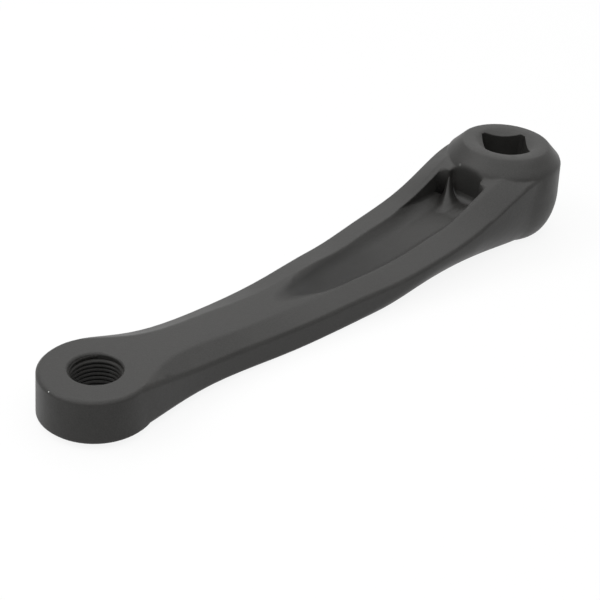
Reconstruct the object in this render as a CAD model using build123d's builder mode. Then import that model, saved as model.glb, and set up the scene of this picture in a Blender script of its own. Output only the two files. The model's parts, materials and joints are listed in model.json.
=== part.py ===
from build123d import *
import os
from collections import namedtuple
from math import radians, tan

# Left crank arm of a bicycle, forged in one piece.
# Millimetres. The spindle axis is Z, the arm runs along +X to the pedal eye, the outer side is down.
# The origin is on the spindle axis, in the plane that the outer side rests on.

# Overall
crank_length = 170.0          # spindle axis to pedal axis
waist_half_width = 12.2       # narrowest part of the arm
waist_height = 9.6            # lowest part of the arm's inner side

# Pedal eye
eye_radius = 15.8             # at the outer face
eye_face_radius = 15.35       # at the inner face, as the wall leans in
eye_thickness = 13.0
eye_lift = 1.4                # outer face of the eye above the resting plane
eye_rim_chamfer = 0.7
eye_face_end = 6.0            # distance from the pedal axis where the level face passes into the arm
pedal_thread_diameter = 14.288
pedal_mouth_chamfer = 0.55

# Spindle boss
boss_height = 30.0
boss_face_radius = 14.2       # flat inner face
boss_rim_radius = 18.8        # foot of the cone under the flat face
boss_cone_height = 4.8
boss_belly_radius = 19.4      # widest turn of the wall
boss_belly_height = 13.9
boss_foot_radius = 12.5       # flat ring on the outer side
boss_face_chamfer = 0.5
boss_rim_chamfer = 0.6

# Square taper socket and puller bore
socket_mouth_width = 14.5     # across the flats at the inner face
socket_taper = 2.0            # degrees, each side
socket_turn = 45.0            # degrees between a flat and the arm
socket_corner_chamfer = 1.2
countersink_radius = 10.4
countersink_slope = 25.0      # degrees from the inner face
puller_thread_diameter = 22.0
puller_thread_depth = 9.0
bolt_seat_diameter = 20.4
bolt_seat_depth = 11.0

# Sections across the arm, from the spindle axis to the pedal axis. wide and high are shares of the way from the
# waist to the boss or the eye, flat is a share of the half width, fall is the slope of the bevel beside the flat.
# outer is the height of the outer face, round_across its rounding, round_up a share of the side below the bevel.
ArmEnd = namedtuple("ArmEnd", "radius height")
ArmSection = namedtuple("ArmSection", "x end wide high flat fall outer round_across round_up")
eye_top = eye_lift + eye_thickness
boss = ArmEnd(boss_belly_radius, boss_height - boss_cone_height)
eye = ArmEnd(eye_radius, eye_top)
arm_sections = [
    ArmSection(0.0, boss, 0.82, 1.09, 0.66, 0.29, 0.9, 7.2, 0.57),
    ArmSection(10.0, boss, 0.875, 1.05, 0.627, 0.36, 0.65, 7.1, 0.58),
    ArmSection(20.0, boss, 0.84, 0.885, 0.597, 0.50, 0.95, 8.2, 0.68),
    ArmSection(30.0, boss, 0.805, 0.577, 0.567, 0.37, 1.35, 9.1, 0.78),
    ArmSection(42.0, boss, 0.77, 0.314, 0.513, 0.21, 1.6, 9.5, 0.85),
    ArmSection(0.34 * crank_length, boss, 0.667, 0.144, 0.50, 0.18, 1.25, 6.6, 0.76),
    ArmSection(0.46 * crank_length, boss, 0.44, 0.042, 0.50, 0.195, 0.25, 2.9, 0.35),
    ArmSection(0.59 * crank_length, boss, 0.195, 0.00, 0.47, 0.245, -0.15, 1.5, 0.19),
    ArmSection(0.72 * crank_length, eye, 0.042, 0.21, 0.494, 0.385, 0.5, 1.4, 0.18),
    ArmSection(crank_length - 30.0, eye, 0.014, 0.52, 0.482, 0.45, 1.4, 1.6, 0.20),
    ArmSection(crank_length - 15.0, eye, 0.39, 0.835, 0.65, 0.40, 1.5, 1.7, 0.16),
    ArmSection(crank_length - 6.0, eye, 0.73, 0.98, 0.89, 0.36, 1.5, 1.6, 0.13),
    ArmSection(crank_length, eye, 0.83, 0.97, 0.89, 0.35, 1.5, 1.5, 0.12),
]
flat_edge_rounding = 3.0
shoulder_chamfer = 0.7        # between a bevel and the side below it
round_steps = 5               # stretches of each rounding on the outer side

# Pocket in the inner side, between two rails. Beside the boss its walls are steep down to wall_foot. Its floor is
# level up to half_floor to each side, and then rises in a curve that passes through (half_edge, edge).
FloorSection = namedtuple("FloorSection", "x half_floor floor half_edge edge")
pocket_end = 20.5             # distance from the spindle axis
pocket_half_width = 9.0
solid_neck = 66.0             # distance from the pocket's tip to the pedal axis
pocket_length = crank_length - solid_neck - pocket_end
wall_foot = 14.4
notch_half_width = 6.0        # narrower end of the pocket, next to the boss
notch_depth = 2.3             # how far it goes on past the pocket's end
pocket_corner_rounding = 0.45 * notch_depth
floor_sections = [
    FloorSection(pocket_end - 1.5 * notch_depth, 4.6, 14.2, pocket_half_width, 14.8),
    FloorSection(pocket_end + 0.5, 4.5, 13.4, pocket_half_width, wall_foot),
    FloorSection(pocket_end + 0.07 * pocket_length, 4.4, 12.8, pocket_half_width, wall_foot),
    FloorSection(pocket_end + 0.16 * pocket_length, 4.2, 11.9, pocket_half_width, wall_foot),
    FloorSection(pocket_end + 0.26 * pocket_length, 4.0, 10.8, 8.8, wall_foot),
    FloorSection(pocket_end + 0.40 * pocket_length, 3.7, 9.4, 8.5, 12.3),
    FloorSection(pocket_end + 0.58 * pocket_length, 3.3, 8.3, 8.1, 10.85),
    FloorSection(pocket_end + 0.75 * pocket_length, 2.6, 8.1, 7.1, 10.0),
    FloorSection(pocket_end + 0.88 * pocket_length, 1.6, 8.7, 4.9, 9.75),
    FloorSection(pocket_end + pocket_length, 0.6, 9.8, 2.4, 10.4),
]
form_margin = 1.5             # how far the cutting form goes past the pocket's outline
floor_reach = pocket_half_width + form_margin
form_top = boss_height + floor_reach

pedal_axis = Axis((crank_length, 0, 0), (0, 0, 1))


def across(x):
    """Plane of a section across the arm, with its own x along Y and its own y along Z."""
    return Plane(origin=(x, 0, 0), x_dir=(0, 1, 0), z_dir=(1, 0, 0))


def outer_rounding(centre, reach, height):
    """Quarter of an ellipse, from the outer face up to the side, in a few stretches."""
    stretch = 90 / round_steps
    for step in range(round_steps):
        EllipticalCenterArc(centre, reach, height, start_angle=270 + step * stretch, arc_size=stretch)


# Arm, from the spindle axis to the pedal axis
with BuildPart() as arm:
    for section in arm_sections:
        half_width = waist_half_width + section.wide * (section.end.radius - waist_half_width)
        flat_height = waist_height + section.high * (section.end.height - waist_height)
        half_flat = section.flat * half_width
        shoulder = flat_height - section.fall * (half_width - half_flat)
        round_up = section.round_up * (shoulder - section.outer)
        inner = half_width - section.round_across
        side_foot = section.outer + round_up
        with BuildSketch(across(section.x)) as outline:
            with BuildLine():
                Line((0, section.outer), (inner, section.outer))
                outer_rounding((inner, side_foot), section.round_across, round_up)
                Polyline(
                    (half_width, side_foot), (half_width, shoulder), (half_flat, flat_height), (0, flat_height)
                )
                mirror(about=Plane.YZ)
            make_face()
            chamfer(outline.vertices().group_by(Axis.Y)[-2], shoulder_chamfer)
            fillet(outline.vertices().group_by(Axis.Y)[-1], flat_edge_rounding)
    loft()

# Form of the pocket: all that is above its floor, within its outline from above
with BuildPart() as pocket:
    for section in floor_sections:
        edge_rise = section.edge - section.floor
        edge_run = section.half_edge - section.half_floor
        reach_height = section.floor + edge_rise * ((floor_reach - section.half_floor) / edge_run) ** 2
        with BuildSketch(across(section.x)):
            with BuildLine():
                Line((0, section.floor), (section.half_floor, section.floor))
                Bezier(
                    (section.half_floor, section.floor),
                    ((section.half_floor + floor_reach) / 2, section.floor),
                    (floor_reach, reach_height),
                )
                Polyline((floor_reach, reach_height), (floor_reach, form_top), (0, form_top))
                mirror(about=Plane.YZ)
            make_face()
    loft()
    with BuildSketch() as pocket_plan:
        with BuildLine():
            Polyline(
                (pocket_end - notch_depth, notch_half_width),
                (pocket_end, notch_half_width),
                (pocket_end, pocket_half_width),
                (crank_length, pocket_half_width),
                (crank_length, -pocket_half_width),
                (pocket_end, -pocket_half_width),
                (pocket_end, -notch_half_width),
                (pocket_end - notch_depth, -notch_half_width),
                close=True,
            )
        make_face()
        columns = pocket_plan.vertices().group_by(Axis.X)
        fillet(columns[0] + columns[1], pocket_corner_rounding)
    extrude(amount=boss_height, mode=Mode.INTERSECT)

with BuildPart() as crank_arm:
    # Pedal eye, level up to where the arm takes over
    with BuildSketch(Plane.XZ) as eye_profile:
        with BuildLine():
            Polyline(
                (crank_length, eye_lift),
                (crank_length + eye_radius, eye_lift),
                (crank_length + eye_face_radius, eye_top),
                (crank_length, eye_top),
                close=True,
            )
        make_face()
        chamfer(eye_profile.vertices().sort_by(Axis.X)[-2:], eye_rim_chamfer)
    revolve(axis=pedal_axis)
    split(bisect_by=Plane.YZ.offset(crank_length - eye_face_end), keep=Keep.TOP)

    # Arm
    add(arm.part)

    # Spindle boss, turned about the spindle axis
    with BuildSketch(Plane.XZ) as boss_profile:
        with BuildLine():
            Polyline(
                (boss_foot_radius, 0),
                (0, 0),
                (0, boss_height),
                (boss_face_radius, boss_height),
                (boss_rim_radius, boss_height - boss_cone_height),
                (boss_belly_radius, boss_belly_height),
            )
            outer_rounding(
                (boss_foot_radius, boss_belly_height), boss_belly_radius - boss_foot_radius, boss_belly_height
            )
        make_face()
        chamfer(boss_profile.vertices().group_by(Axis.Y)[-2], boss_rim_chamfer)
        chamfer(boss_profile.vertices().group_by(Axis.Y)[-1].sort_by(Axis.X)[-1], boss_face_chamfer)
    revolve(axis=Axis.Z)

    # Flat that the arm rests on
    split(bisect_by=Plane.XY, keep=Keep.TOP)

    # Pocket, with its narrower end beside the boss
    add(pocket.part, mode=Mode.SUBTRACT)

    # Pedal hole, at the size of the thread's roots, with both mouths chamfered
    pedal_thread_radius = pedal_thread_diameter / 2
    with BuildSketch(Plane.XZ):
        with BuildLine():
            Polyline(
                (crank_length, eye_lift),
                (crank_length + pedal_thread_radius + pedal_mouth_chamfer, eye_lift),
                (crank_length + pedal_thread_radius, eye_lift + pedal_mouth_chamfer),
                (crank_length + pedal_thread_radius, eye_top - pedal_mouth_chamfer),
                (crank_length + pedal_thread_radius + pedal_mouth_chamfer, eye_top),
                (crank_length, eye_top),
                close=True,
            )
        make_face()
    revolve(axis=pedal_axis, mode=Mode.SUBTRACT)

    # Square taper socket, widest at the inner face, with a shallow countersink
    with BuildSketch(Plane.XY.offset(boss_height)) as socket:
        Rectangle(socket_mouth_width, socket_mouth_width, rotation=socket_turn)
        chamfer(socket.vertices(), socket_corner_chamfer)
    extrude(amount=-boss_height, taper=socket_taper, mode=Mode.SUBTRACT)
    with BuildSketch(Plane.XZ):
        with BuildLine():
            Polyline(
                (0, boss_height),
                (countersink_radius, boss_height),
                (0, boss_height - countersink_radius * tan(radians(countersink_slope))),
                close=True,
            )
        make_face()
    revolve(axis=Axis.Z, mode=Mode.SUBTRACT)

    # Puller bore and bolt seat in the outer side
    puller_thread_radius = puller_thread_diameter / 2
    with BuildSketch(Plane.XZ):
        with BuildLine():
            Polyline(
                (0, 0),
                (puller_thread_radius, 0),
                (puller_thread_radius, puller_thread_depth),
                (bolt_seat_diameter / 2, puller_thread_depth),
                (bolt_seat_diameter / 2, bolt_seat_depth),
                (0, bolt_seat_depth),
                close=True,
            )
        make_face()
    revolve(axis=Axis.Z, mode=Mode.SUBTRACT)

crank_arm.part.label = "crank_arm"

os.makedirs("parts", exist_ok=True)
export_step(crank_arm.part, "parts/crank_arm.step")
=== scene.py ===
import json
import math

import bpy
import numpy as np
from mathutils import Matrix, Vector


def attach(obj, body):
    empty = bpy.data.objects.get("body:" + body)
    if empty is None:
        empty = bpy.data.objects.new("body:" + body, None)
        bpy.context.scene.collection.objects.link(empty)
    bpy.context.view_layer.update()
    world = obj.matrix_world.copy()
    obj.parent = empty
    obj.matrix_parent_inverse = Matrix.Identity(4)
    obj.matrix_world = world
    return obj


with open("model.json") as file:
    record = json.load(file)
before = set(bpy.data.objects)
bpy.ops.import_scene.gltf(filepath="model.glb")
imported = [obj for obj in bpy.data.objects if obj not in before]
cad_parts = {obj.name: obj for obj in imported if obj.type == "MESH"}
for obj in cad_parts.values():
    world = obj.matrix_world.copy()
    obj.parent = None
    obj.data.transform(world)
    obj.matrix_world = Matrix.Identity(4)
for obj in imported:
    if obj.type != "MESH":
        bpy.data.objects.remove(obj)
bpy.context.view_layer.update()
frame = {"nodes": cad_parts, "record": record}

# Metres. The spindle axis is Z, the arm runs along +X to the pedal eye, the outer side is down.
MM = 0.001
arm = frame["nodes"]["crank_arm"]
mounts = {mount["name"]: mount for mount in frame["record"]["mounts"]}

# Threads: pitch of each, the share of it that the crests stand out, and the hand
pedal_pitch = 25.4 / 20 * MM
puller_pitch = 1.0 * MM
crest_share = 0.541
LEFT_HAND = -1
RIGHT_HAND = 1

# Sides of the arm, along Y: the camera's and the other
NEAR = 1
FAR = -1

# Pocket's end beside the boss, in millimetres: distance of the notch's back and of the lugs' faces from the
# spindle axis, half width of the notch and of the pocket, and the radius at the foot of the back, at the foot
# of the sides and in the corners
notch_back = 18.2
lug_face = 20.5
notch_half_width = 6.0
pocket_half_width = 9.0
back_foot = 2.6
side_foot = 0.6
lug_fill = 2.4

# Pocket's floor there, in millimetres: at one station the height of its middle and of its sides and the half
# width of its level part, then how they change along the arm and how they curve up towards the boss
floor_station = 21.0
floor_middle = 13.4
floor_side = 14.4
floor_half_level = 4.5
floor_fall = 0.115
floor_narrowing = 0.023
floor_middle_curve = 0.022
floor_side_curve = 0.025

# Rails' upper side there, in millimetres: height at the lugs' faces, fall along the arm and curve of the fall
rail_height = 23.19
rail_fall = 0.46
rail_curve = 0.0053

# Spur that runs down to the floor from each lug's corner, in millimetres. It is narrow at its top, and lower
# on the near side.
spur_height = 8.0
spur_start = -1.0
spur_length = 12.5
spur_outer_width = 3.0
spur_inner_width = 5.5
spur_top_share = 0.28
spur_fall_power = 2.6
spur_turn = math.radians(35)
near_spur_share = 0.3

# Paint, primer and bare metal, as linear colour
paint_dark = (0.0138, 0.0134, 0.0125)
paint_light = (0.0232, 0.0227, 0.0213)
paint_speck = (0.0390, 0.0381, 0.0362)
paint_rubbed = (0.0440, 0.0431, 0.0412)
# Painted shade: a darker colour for the pocket's tip, which stands in for the shade of a deeper tip
tip_painted_shade = (0.0100, 0.0098, 0.0092)
bare_metal = (0.66, 0.66, 0.65)
dull_primer = (0.085, 0.085, 0.083)

# Shine of the paint outside and in the threads, and the radius at which edges look rounded
paint_shine = 0.27
thread_shine = 0.15
arm_edge = 1.1 * MM
pocket_edge = 0.1 * MM
thread_edge = 0.15 * MM

# Roughness of the shinier and of the duller patches, and what the pocket's tip adds to it
rough_low = 0.40
rough_high = 0.50
rough_dull = 0.22

# Chips in the paint: place on the surface, radius and what shows
chips = [
    (Vector((0.1851, 0.0002, 0.0140)), 0.40 * MM, bare_metal),
    (Vector((0.0181, -0.0040, 0.0254)), 0.90 * MM, dull_primer),
]

# Places on the arm: middle of the notch's upper edge, plan of the line where the flank runs into the boss,
# and the line across the arm where the eye's level face starts
notch_middle = Vector((notch_back, 0.0, 25.8)) * MM
flank_blend = Vector((5.5, 17.3, 0.0)) * MM
eye_line = 164.0 * MM

# Plan of the pocket's tip with painted shade, half an ellipse: where it starts, its length and its half width
tip_start = 60.0 * MM
tip_length = 45.5 * MM
tip_half_width = 8.2 * MM

# Floor and room: grey of the floor, share of white in what is seen of it, and light of the white room
floor_grey = 0.85
floor_white_share = 0.88
room_light = 0.15

# Soft lamps: name, place, width and power in watts
lamps = [
    ("overhead", Vector((0.20, 0.02, 0.95)), 2.0, 20.0),
    ("behind", Vector((-0.40, -0.46, 0.66)), 0.6, 0.6),
    ("side", Vector((0.58, -0.40, 0.62)), 0.5, 1.5),
]

# Camera, where the photograph was taken from. Lens and sensor are in millimetres.
camera_place = Vector((0.3540, 0.2397, 0.2199))
camera_target = Vector((0.0892, -0.0046, 0.0014))
camera_roll = math.radians(-4.02)
camera_lens = 83.889
camera_sensor = 36.0
camera_nearest = 0.01


def new_piece(name, points, faces):
    """Smooth mesh piece that belongs to the arm."""
    mesh = bpy.data.meshes.new(name)
    mesh.from_pydata(points.tolist(), [], faces)
    mesh.shade_smooth()
    piece = bpy.data.objects.new(name, mesh)
    bpy.context.scene.collection.objects.link(piece)
    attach(piece, "root")
    return piece


def swept_faces(rows, corners, turn):
    """Faces of a closed profile that is carried along a path, with a cap at each end.

    From each row to the next, every side of the profile makes one face with four corners. The turn, 1 or -1,
    is the way round that points the faces outwards.
    """
    index = np.arange(rows * corners).reshape(rows, corners)
    after = np.roll(index, -1, axis=1)
    quads = np.stack([index[:-1], after[:-1], after[1:], index[1:]], axis=-1).reshape(-1, 4)
    return quads[:, ::turn].tolist() + [index[0][::-turn].tolist(), index[-1][::turn].tolist()]


def thread_piece(name, mount, middle, pitch, hand):
    """Ridge of an inside thread, with its profile carried along a helix.

    A point is middle + (radius cos(hand 2 pi t), radius sin(hand 2 pi t), pitch (t - turns / 2) + rise),
    where t counts turns and (radius, rise) is the profile: six corners, two of them behind the wall and two
    on the crest. The crest sinks into the wall over the last part of a turn at each end.
    """
    steps_per_turn = 72
    run_out = 0.4
    least_crest = 0.02
    behind = 0.05 * MM
    root = 0.43 * pitch
    crest = 0.125 * pitch
    depth = crest_share * pitch
    wall_radius = mount["dims"]["r_mm"] * MM
    turns = mount["dims"]["length_mm"] * MM / pitch - 1.0

    t = np.linspace(0.0, turns, int(turns * steps_per_turn))[:, None]
    ease = np.clip(np.minimum(t, turns - t) / run_out, least_crest, 1.0)
    inward = np.array([-behind, 0.0, depth, depth, 0.0, -behind])
    rise = np.array([-root, -root, -crest, crest, root, root])
    radius = wall_radius - np.where(inward > 0, inward * ease, inward)
    angle = hand * 2 * math.pi * t
    height = pitch * (t - turns / 2) + rise
    points = np.stack([
        middle.x + radius * np.cos(angle),
        middle.y + radius * np.sin(angle),
        middle.z + height,
    ], axis=-1)
    return new_piece(name, points.reshape(-1, 3), swept_faces(*radius.shape, hand))


def pocket_floor(x, aside):
    """Height of the pocket's floor: level across the middle, and rising as a square towards each side.

    Along the arm the middle falls evenly and the level part narrows. Towards the boss both heights rise as a
    square.
    """
    past = x - floor_station
    towards_boss = np.maximum(-past, 0.0)
    middle = floor_middle - floor_fall * past + floor_middle_curve * towards_boss ** 2
    side = floor_side + floor_side_curve * towards_boss ** 2
    half_level = floor_half_level - floor_narrowing * past
    share = np.maximum(aside - half_level, 0.0) / (pocket_half_width - half_level)
    return middle + (side - middle) * share ** 2


def rail_top(x):
    """Height of the rails' upper side near the boss: a straight fall from the lugs' faces, plus a square."""
    past = x - lug_face
    return rail_height - rail_fall * past - rail_curve * past ** 2


def cove(distance, radius):
    """Height of a quarter circle that joins a floor to a wall, at a distance from the wall."""
    left = np.clip(1.0 - distance / radius, 0.0, 1.0)
    return radius * (1.0 - np.sqrt(1.0 - left ** 2))


def spur_rise(x, y):
    """Height of the spurs: a bell across each spur's line, which falls as a power along it and widens."""
    middle_strip = (-2.0, 2.0)
    run_x = x - lug_face
    run_y = notch_half_width - np.abs(y)
    along = run_x * math.cos(spur_turn) + run_y * math.sin(spur_turn)
    beside = run_y * math.cos(spur_turn) - run_x * math.sin(spur_turn)
    run = np.clip((along - spur_start) / spur_length, 0.0, 1.0)
    full_width = np.where(beside > 0, spur_inner_width, spur_outer_width)
    width = full_width * (spur_top_share + (1.0 - spur_top_share) * run)
    height = spur_height * np.interp(y, middle_strip, (1.0, near_spur_share))
    return height * (1.0 - run) ** spur_fall_power * np.exp(-((beside / width) ** 2))


def pocket_foot():
    """Soft foot of the walls at the pocket's end, with a spur from each lug.

    A grid over the floor, with a copy of it below and a skirt between them. The height is the floor's, plus
    the root of the sum of three squares: a cove at the notch's back, a cove at the side, and the spur. The
    grid stays below the rails, lies just above the floor near the boss, and sinks into it further out.
    """
    start = 17.6
    sink_start = 27.0
    end = 34.0
    half_width = 9.3
    rows = 130
    columns = 150
    above_floor = 0.04
    below_floor = 0.12
    below_rail = 0.2
    depth = 1.0

    along = np.linspace(start, end, rows)
    across = np.linspace(-half_width, half_width, columns)
    x, y = np.meshgrid(along, across, indexing="ij")
    aside = np.abs(y)
    back = cove(x - notch_back, back_foot)
    side = cove(pocket_half_width - aside, side_foot)
    rise = np.sqrt(back ** 2 + side ** 2 + spur_rise(x, y) ** 2)
    lift = np.interp(x, (sink_start, end), (above_floor, -below_floor))
    z = np.minimum(pocket_floor(x, aside) + rise + lift, rail_top(x) - below_rail)

    top = np.stack([x, y, z], axis=-1).reshape(-1, 3)
    points = np.concatenate([top, top - (0.0, 0.0, depth)]) * MM
    index = np.arange(len(top)).reshape(x.shape)
    corners = [index[:-1, :-1], index[1:, :-1], index[1:, 1:], index[:-1, 1:]]
    upper = np.stack(corners, axis=-1).reshape(-1, 4)
    ring = np.concatenate([index[:-1, 0], index[-1, :-1], index[:0:-1, -1], index[0, :0:-1]])
    after = np.roll(ring, -1)
    skirt = np.stack([ring, ring + len(top), after + len(top), after], axis=-1)
    quads = np.concatenate([upper, upper[:, ::-1] + len(top), skirt])
    return new_piece("pocket_foot", points, quads.tolist())


def lug_corner_piece(name, side):
    """Round corner between the face of a lug and the pocket's side wall.

    A wall profile is carried along a quarter circle that touches both faces, and a little past each. Each
    point of the profile has a distance into the wall. The first two are at the foot, and the others follow
    the rail's upper side, below it by a small drop, with a rounded edge.
    """
    into = np.array([2.0, 0.0, 0.0, 0.18, 0.6, 2.0])
    drop = np.array([0.0, 0.0, 0.6, 0.18, -0.01, 0.25])
    at_foot = np.array([True, True, False, False, False, False])
    foot_level = 12.0
    steps = 40
    past_quarter = 2.0
    angle = np.radians(np.linspace(180.0 + past_quarter, 90.0 - past_quarter, steps))[:, None]
    x = lug_face + lug_fill + (lug_fill + into) * np.cos(angle)
    y = side * (pocket_half_width - lug_fill + (lug_fill + into) * np.sin(angle))
    z = np.where(at_foot, foot_level, rail_top(x) - drop)
    points = np.stack([x, y, z], axis=-1).reshape(-1, 3) * MM
    return new_piece(name, points, swept_faces(*x.shape, -side))


def smooth_arm():
    """Even shading over the arm's curved faces, with its edges kept where they turn sharply."""
    same_point = 0.002 * MM
    sharp_turn = math.radians(32)
    arm.data.shade_smooth()
    weld = arm.modifiers.new("weld", "WELD")
    weld.merge_threshold = same_point
    sharp = arm.modifiers.new("sharp_edges", "EDGE_SPLIT")
    sharp.split_angle = sharp_turn
    arm.modifiers.new("normals", "WEIGHTED_NORMAL")


def put(tree, socket, value):
    """Give an input a fixed value, or link it to another socket."""
    if isinstance(value, bpy.types.NodeSocket):
        tree.links.new(value, socket)
    else:
        socket.default_value = value


def worked_out(tree, operation, *values):
    """Result of a calculation with numbers, each a socket or fixed."""
    node = tree.nodes.new("ShaderNodeMath")
    node.operation = operation
    for socket, value in zip(node.inputs, values):
        put(tree, socket, value)
    return node.outputs["Value"]


def of_vectors(tree, operation, first, second):
    """Outputs of a calculation with two vectors, each a socket or fixed."""
    node = tree.nodes.new("ShaderNodeVectorMath")
    node.operation = operation
    put(tree, node.inputs[0], first)
    put(tree, node.inputs[1], second)
    return node.outputs


def distance_from(tree, point, spot):
    """Distance of a point from a fixed spot."""
    return of_vectors(tree, "DISTANCE", point, spot)["Value"]


def parts_of(tree, vector):
    """X, Y and Z of a vector."""
    node = tree.nodes.new("ShaderNodeSeparateXYZ")
    tree.links.new(vector, node.inputs["Vector"])
    return node.outputs


def spread(tree, value, low, high, start, end):
    """Value that goes from low to high as the input goes from start to end, and stays there beyond."""
    ramp = tree.nodes.new("ShaderNodeMapRange")
    tree.links.new(value, ramp.inputs["Value"])
    ramp.inputs["From Min"].default_value = start
    ramp.inputs["From Max"].default_value = end
    ramp.inputs["To Min"].default_value = low
    ramp.inputs["To Max"].default_value = high
    return ramp.outputs["Result"]


def patchy(tree, noise_value, low, high):
    """Value between low and high, over the middle of what a noise gives."""
    noise_middle = (0.3, 0.7)
    return spread(tree, noise_value, low, high, *noise_middle)


def noise(tree, point, scale, detail):
    """Noise over the piece's own coordinates, with about one patch for each 1 / scale metres."""
    texture = tree.nodes.new("ShaderNodeTexNoise")
    texture.inputs["Scale"].default_value = scale
    texture.inputs["Detail"].default_value = detail
    tree.links.new(point, texture.inputs["Vector"])
    return texture.outputs["Fac"]


def mixed_colour(tree, share, first, second):
    """Colour between two others, each a tuple or a socket."""
    mix = tree.nodes.new("ShaderNodeMix")
    mix.data_type = "RGBA"
    tree.links.new(share, mix.inputs["Factor"])
    for name, colour in (("A", first), ("B", second)):
        socket = next(one for one in mix.inputs if one.name == name and one.type == "RGBA")
        put(tree, socket, (*colour, 1) if isinstance(colour, tuple) else colour)
    return next(one for one in mix.outputs if one.type == "RGBA")


def bumped(tree, normal, height, strength, distance):
    """Normal that is turned by the slopes of a height."""
    bump = tree.nodes.new("ShaderNodeBump")
    bump.inputs["Strength"].default_value = strength
    bump.inputs["Distance"].default_value = distance
    tree.links.new(height, bump.inputs["Height"])
    tree.links.new(normal, bump.inputs["Normal"])
    return bump.outputs["Normal"]


def chip_mask(tree, point, ragged, spot, size):
    """One inside a chip and nought outside: nearness to the chip's place, with a ragged edge."""
    inner_share = 0.9
    outer_share = 1.1
    near = worked_out(tree, "MULTIPLY_ADD", ragged, size, distance_from(tree, point, spot))
    return spread(tree, near, 1.0, 0.0, inner_share * size, outer_share * size)


def eye_line_easing(tree, point, face_normal):
    """Even turn of the normal over the line where the arm runs into the eye's level face.

    The two faces meet there at a slight angle. Each is tilted by half of it at the line, and less and less
    away from the line. The first socket is nought beside the line and one elsewhere, the second is the tilt.
    """
    half_angle = 0.0225
    reach = 7 * MM
    beside_line = 1.2 * MM
    clear_of_line = 2.4 * MM
    nearly_level = 0.97
    level_enough = 0.99
    level = spread(tree, parts_of(tree, face_normal)["Z"], 0.0, 1.0, nearly_level, level_enough)
    past = worked_out(tree, "SUBTRACT", parts_of(tree, point)["X"], eye_line)
    distance = worked_out(tree, "ABSOLUTE", past)
    amount = spread(tree, distance, -half_angle, 0.0, 0.0, reach)
    signed = worked_out(tree, "MULTIPLY", amount, worked_out(tree, "SIGN", past))
    tilt = tree.nodes.new("ShaderNodeCombineXYZ")
    tree.links.new(worked_out(tree, "MULTIPLY", signed, level), tilt.inputs["X"])
    beside = spread(tree, distance, 1.0, 0.0, beside_line, clear_of_line)
    away = worked_out(tree, "SUBTRACT", 1.0, worked_out(tree, "MULTIPLY", beside, level))
    return away, tilt.outputs["Vector"]


def edge_rounding(tree, point, edge_radius):
    """Radius at which edges look rounded.

    The usual radius, times a factor at the notch's soft edge and times a share on the boss's crisp inner
    face. Where a flank runs into the boss, below the cone, it grows by a wide blend on both sides of the arm.
    """
    notch_factor = 2.2
    notch_reach = (5 * MM, 8 * MM)
    crisp_share = 0.4
    crisp_reach = (16.5 * MM, 18 * MM)
    blend_factor = 8.0
    blend_reach = (5 * MM, 12 * MM)
    blend_top = (17 * MM, 21 * MM)
    parts = parts_of(tree, point)
    plan = tree.nodes.new("ShaderNodeCombineXYZ")
    tree.links.new(parts["X"], plan.inputs["X"])
    tree.links.new(worked_out(tree, "ABSOLUTE", parts["Y"]), plan.inputs["Y"])
    in_plan = plan.outputs["Vector"]

    from_notch = distance_from(tree, point, notch_middle)
    soft = spread(tree, from_notch, notch_factor * edge_radius, edge_radius, *notch_reach)
    from_axis = distance_from(tree, in_plan, (0, 0, 0))
    crisp = spread(tree, from_axis, crisp_share, 1.0, *crisp_reach)
    from_blend = distance_from(tree, in_plan, flank_blend)
    near_blend = spread(tree, from_blend, 1.0, 0.0, *blend_reach)
    below_cone = spread(tree, parts["Z"], blend_factor * edge_radius, 0.0, *blend_top)
    usual = worked_out(tree, "MULTIPLY", soft, crisp)
    return worked_out(tree, "ADD", usual, worked_out(tree, "MULTIPLY", near_blend, below_cone))


def pocket_tip(tree, point):
    """One on the pocket's floor towards its tip, where the paint is rougher and darkened as painted shade,
    and nought elsewhere.

    A point is inside where ((x - start) / length) squared plus (y / half width) squared is below one, on the
    arm's upper side. The share grows along the pocket.
    """
    border = (0.84, 1.0)
    growth = (35 * MM, 80 * MM)
    upper_heights = (5 * MM, 6 * MM)
    moved = tree.nodes.new("ShaderNodeMapping")
    moved.vector_type = "TEXTURE"
    moved.inputs["Location"].default_value = (tip_start, 0, 0)
    moved.inputs["Scale"].default_value = (tip_length, tip_half_width, 1)
    tree.links.new(point, moved.inputs["Vector"])
    in_plan = of_vectors(tree, "MULTIPLY", moved.outputs["Vector"], (1, 1, 0))["Vector"]
    inside = spread(tree, distance_from(tree, in_plan, (0, 0, 0)), 1.0, 0.0, *border)
    parts = parts_of(tree, point)
    towards_tip = spread(tree, parts["X"], 0.0, 1.0, *growth)
    upper_side = spread(tree, parts["Z"], 0.0, 1.0, *upper_heights)
    return worked_out(tree, "MULTIPLY", worked_out(tree, "MULTIPLY", inside, towards_tip), upper_side)


def new_material(name):
    """Material with an empty node tree, and its output's surface."""
    material = bpy.data.materials.new(name)
    material.use_nodes = True
    material.node_tree.nodes.clear()
    output = material.node_tree.nodes.new("ShaderNodeOutputMaterial")
    return material, material.node_tree, output.inputs["Surface"]


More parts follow.
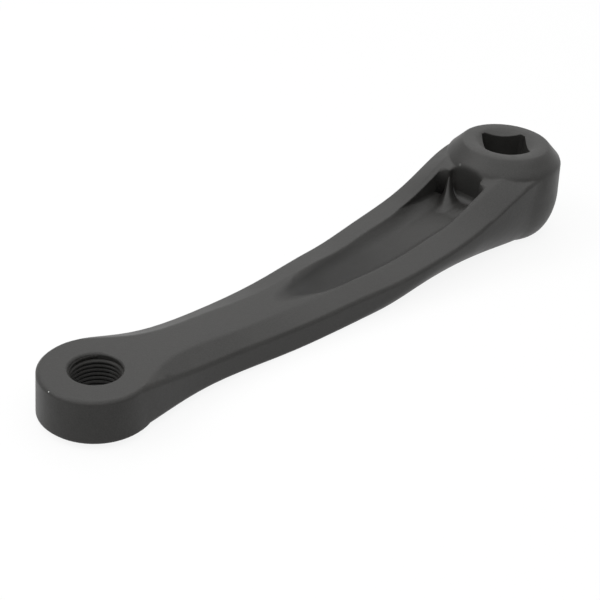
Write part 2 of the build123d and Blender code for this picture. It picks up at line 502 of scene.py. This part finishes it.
def satin_black_paint(name, edge_radius, shine):
    """Satin black paint on a shot-blasted forging.

    Fine grain and a slow unevenness in the bump, patches of shine in the roughness, patches of tone in the
    colour, edges rubbed a little lighter where the rounded normal leaves the face's own, rougher paint in the
    pocket's tip with its colour darkened there as painted shade, and two small chips.
    """
    speck_share = 0.35
    rubbed_alike = (0.86, 0.99)
    rubbed_noise = (0.35, 0.75)
    rounded_rays = 8
    slow_strength = 0.5
    slow_height = 0.08 * MM
    fine_strength = 0.6
    fine_height = 0.03 * MM
    material, tree, surface = new_material(name)
    point = tree.nodes.new("ShaderNodeTexCoord").outputs["Object"]
    face_normal = tree.nodes.new("ShaderNodeNewGeometry").outputs["Normal"]
    grain = noise(tree, point, scale=2300, detail=2)
    uneven = noise(tree, point, scale=420, detail=3)
    patches = noise(tree, point, scale=95, detail=4)

    away, tilt = eye_line_easing(tree, point, face_normal)
    bevel = tree.nodes.new("ShaderNodeBevel")
    bevel.samples = rounded_rays
    radius = worked_out(tree, "MULTIPLY", edge_rounding(tree, point, edge_radius), away)
    tree.links.new(radius, bevel.inputs["Radius"])
    rounded = bevel.outputs["Normal"]
    alike = of_vectors(tree, "DOT_PRODUCT", rounded, face_normal)["Value"]
    edge = spread(tree, alike, 1.0, 0.0, *rubbed_alike)
    rubbed = worked_out(tree, "MULTIPLY", edge, spread(tree, uneven, 0.0, 1.0, *rubbed_noise))

    colour = mixed_colour(tree, patchy(tree, patches, 0.0, 1.0), paint_dark, paint_light)
    colour = mixed_colour(tree, patchy(tree, grain, 0.0, speck_share), colour, paint_speck)
    colour = mixed_colour(tree, rubbed, colour, paint_rubbed)
    duller_and_shaded = pocket_tip(tree, point)
    # Painted shade: the colour on the pocket's tip is darkened, standing in for the shade of a deeper tip
    colour = mixed_colour(tree, duller_and_shaded, colour, tip_painted_shade)
    for spot, size, shown in chips:
        colour = mixed_colour(tree, chip_mask(tree, point, grain, spot, size), colour, shown)
    roughness = patchy(tree, patches, rough_low, rough_high)
    normal = of_vectors(tree, "ADD", rounded, tilt)["Vector"]
    normal = bumped(tree, normal, uneven, slow_strength, slow_height)
    normal = bumped(tree, normal, grain, fine_strength, fine_height)

    paint = tree.nodes.new("ShaderNodeBsdfPrincipled")
    paint.inputs["Specular IOR Level"].default_value = shine
    tree.links.new(colour, paint.inputs["Base Color"])
    rougher = worked_out(tree, "MULTIPLY_ADD", duller_and_shaded, rough_dull, roughness)
    tree.links.new(rougher, paint.inputs["Roughness"])
    tree.links.new(normal, paint.inputs["Normal"])
    tree.links.new(paint.outputs["BSDF"], surface)
    return material


def seen_directly(tree):
    """One for what the camera, a reflection or a clear material sees, and nought for all other light."""
    path = tree.nodes.new("ShaderNodeLightPath").outputs
    seen = worked_out(tree, "MAXIMUM", path["Is Camera Ray"], path["Is Glossy Ray"])
    return worked_out(tree, "MAXIMUM", seen, path["Is Transmission Ray"])


def pale_floor():
    """Pale floor just below the arm, nearly white to the eye, that keeps a light shadow of it."""
    half = 3.0
    level = -0.02 * MM
    corners = [(-half, -half, level), (half, -half, level), (half, half, level), (-half, half, level)]
    mesh = bpy.data.meshes.new("floor")
    mesh.from_pydata(corners, [], [(0, 1, 2, 3)])
    piece = bpy.data.objects.new("floor", mesh)
    bpy.context.scene.collection.objects.link(piece)

    material, tree, surface = new_material("pale_floor")
    matt = tree.nodes.new("ShaderNodeBsdfDiffuse")
    matt.inputs["Color"].default_value = (floor_grey, floor_grey, floor_grey, 1)
    white = tree.nodes.new("ShaderNodeEmission")
    mix = tree.nodes.new("ShaderNodeMixShader")
    share = worked_out(tree, "MULTIPLY", seen_directly(tree), floor_white_share)
    tree.links.new(share, mix.inputs["Fac"])
    tree.links.new(matt.outputs["BSDF"], mix.inputs[1])
    tree.links.new(white.outputs["Emission"], mix.inputs[2])
    tree.links.new(mix.outputs["Shader"], surface)
    mesh.materials.append(material)


def white_room():
    """White room, seen as white and lighting the arm at a plain level."""
    world = bpy.data.worlds.new("white_room")
    bpy.context.scene.world = world
    world.use_nodes = True
    tree = world.node_tree
    tree.nodes.clear()
    output = tree.nodes.new("ShaderNodeOutputWorld")
    room = tree.nodes.new("ShaderNodeBackground")
    room.inputs["Color"].default_value = (1, 1, 1, 1)
    strength = spread(tree, seen_directly(tree), room_light, 1.0, 0.0, 1.0)
    tree.links.new(strength, room.inputs["Strength"])
    tree.links.new(room.outputs["Background"], output.inputs["Surface"])


def soft_lamp(name, place, size, power):
    """Square soft lamp that looks at the middle of the arm."""
    data = bpy.data.lights.new(name, "AREA")
    data.shape = "SQUARE"
    data.size = size
    data.energy = power
    lamp = bpy.data.objects.new(name, data)
    lamp.location = place
    lamp.rotation_euler = (camera_target - place).to_track_quat("-Z", "Y").to_euler()
    bpy.context.scene.collection.objects.link(lamp)


def photo_camera():
    """Camera at the photograph's angle, turned a little about its own line of sight."""
    forward = (camera_target - camera_place).normalized()
    level_right = forward.cross(Vector((0, 0, 1))).normalized()
    level_down = forward.cross(level_right)
    right = math.cos(camera_roll) * level_right + math.sin(camera_roll) * level_down
    down = math.cos(camera_roll) * level_down - math.sin(camera_roll) * level_right
    data = bpy.data.cameras.new("camera")
    data.lens = camera_lens
    data.sensor_width = camera_sensor
    data.clip_start = camera_nearest
    camera = bpy.data.objects.new("camera", data)
    turn = Matrix((right, -down, -forward)).transposed().to_4x4()
    camera.matrix_world = Matrix.Translation(camera_place) @ turn
    bpy.context.scene.collection.objects.link(camera)
    bpy.context.scene.camera = camera


# Arm, with its own paint
smooth_arm()
arm.data.materials.clear()
arm.data.materials.append(satin_black_paint("satin_black_paint", arm_edge, paint_shine))

# Soft forms at the pocket's end
pocket_paint = satin_black_paint("satin_black_pocket", pocket_edge, paint_shine)
pocket_pieces = [
    pocket_foot(),
    lug_corner_piece("lug_corner_near", NEAR),
    lug_corner_piece("lug_corner_far", FAR),
]
for piece in pocket_pieces:
    piece.data.materials.append(pocket_paint)

# Threads: the pedal's mount is at the middle of its hole, the puller's at the mouth of its bore
thread_paint = satin_black_paint("satin_black_thread", thread_edge, thread_shine)
pedal_mount = mounts["pedal_thread"]
puller_mount = mounts["puller_thread"]
pedal_middle = Vector(pedal_mount["pos_m"])
puller_middle = Vector(puller_mount["pos_m"]) + Vector((0, 0, puller_mount["dims"]["length_mm"] * MM / 2))
thread_pieces = [
    thread_piece("pedal_thread", pedal_mount, pedal_middle, pedal_pitch, LEFT_HAND),
    thread_piece("puller_thread", puller_mount, puller_middle, puller_pitch, RIGHT_HAND),
]
for piece in thread_pieces:
    piece.data.materials.append(thread_paint)

# Studio
pale_floor()
white_room()
for name, place, size, power in lamps:
    soft_lamp(name, place, size, power)
photo_camera()
bpy.context.scene.view_settings.view_transform = "Standard"
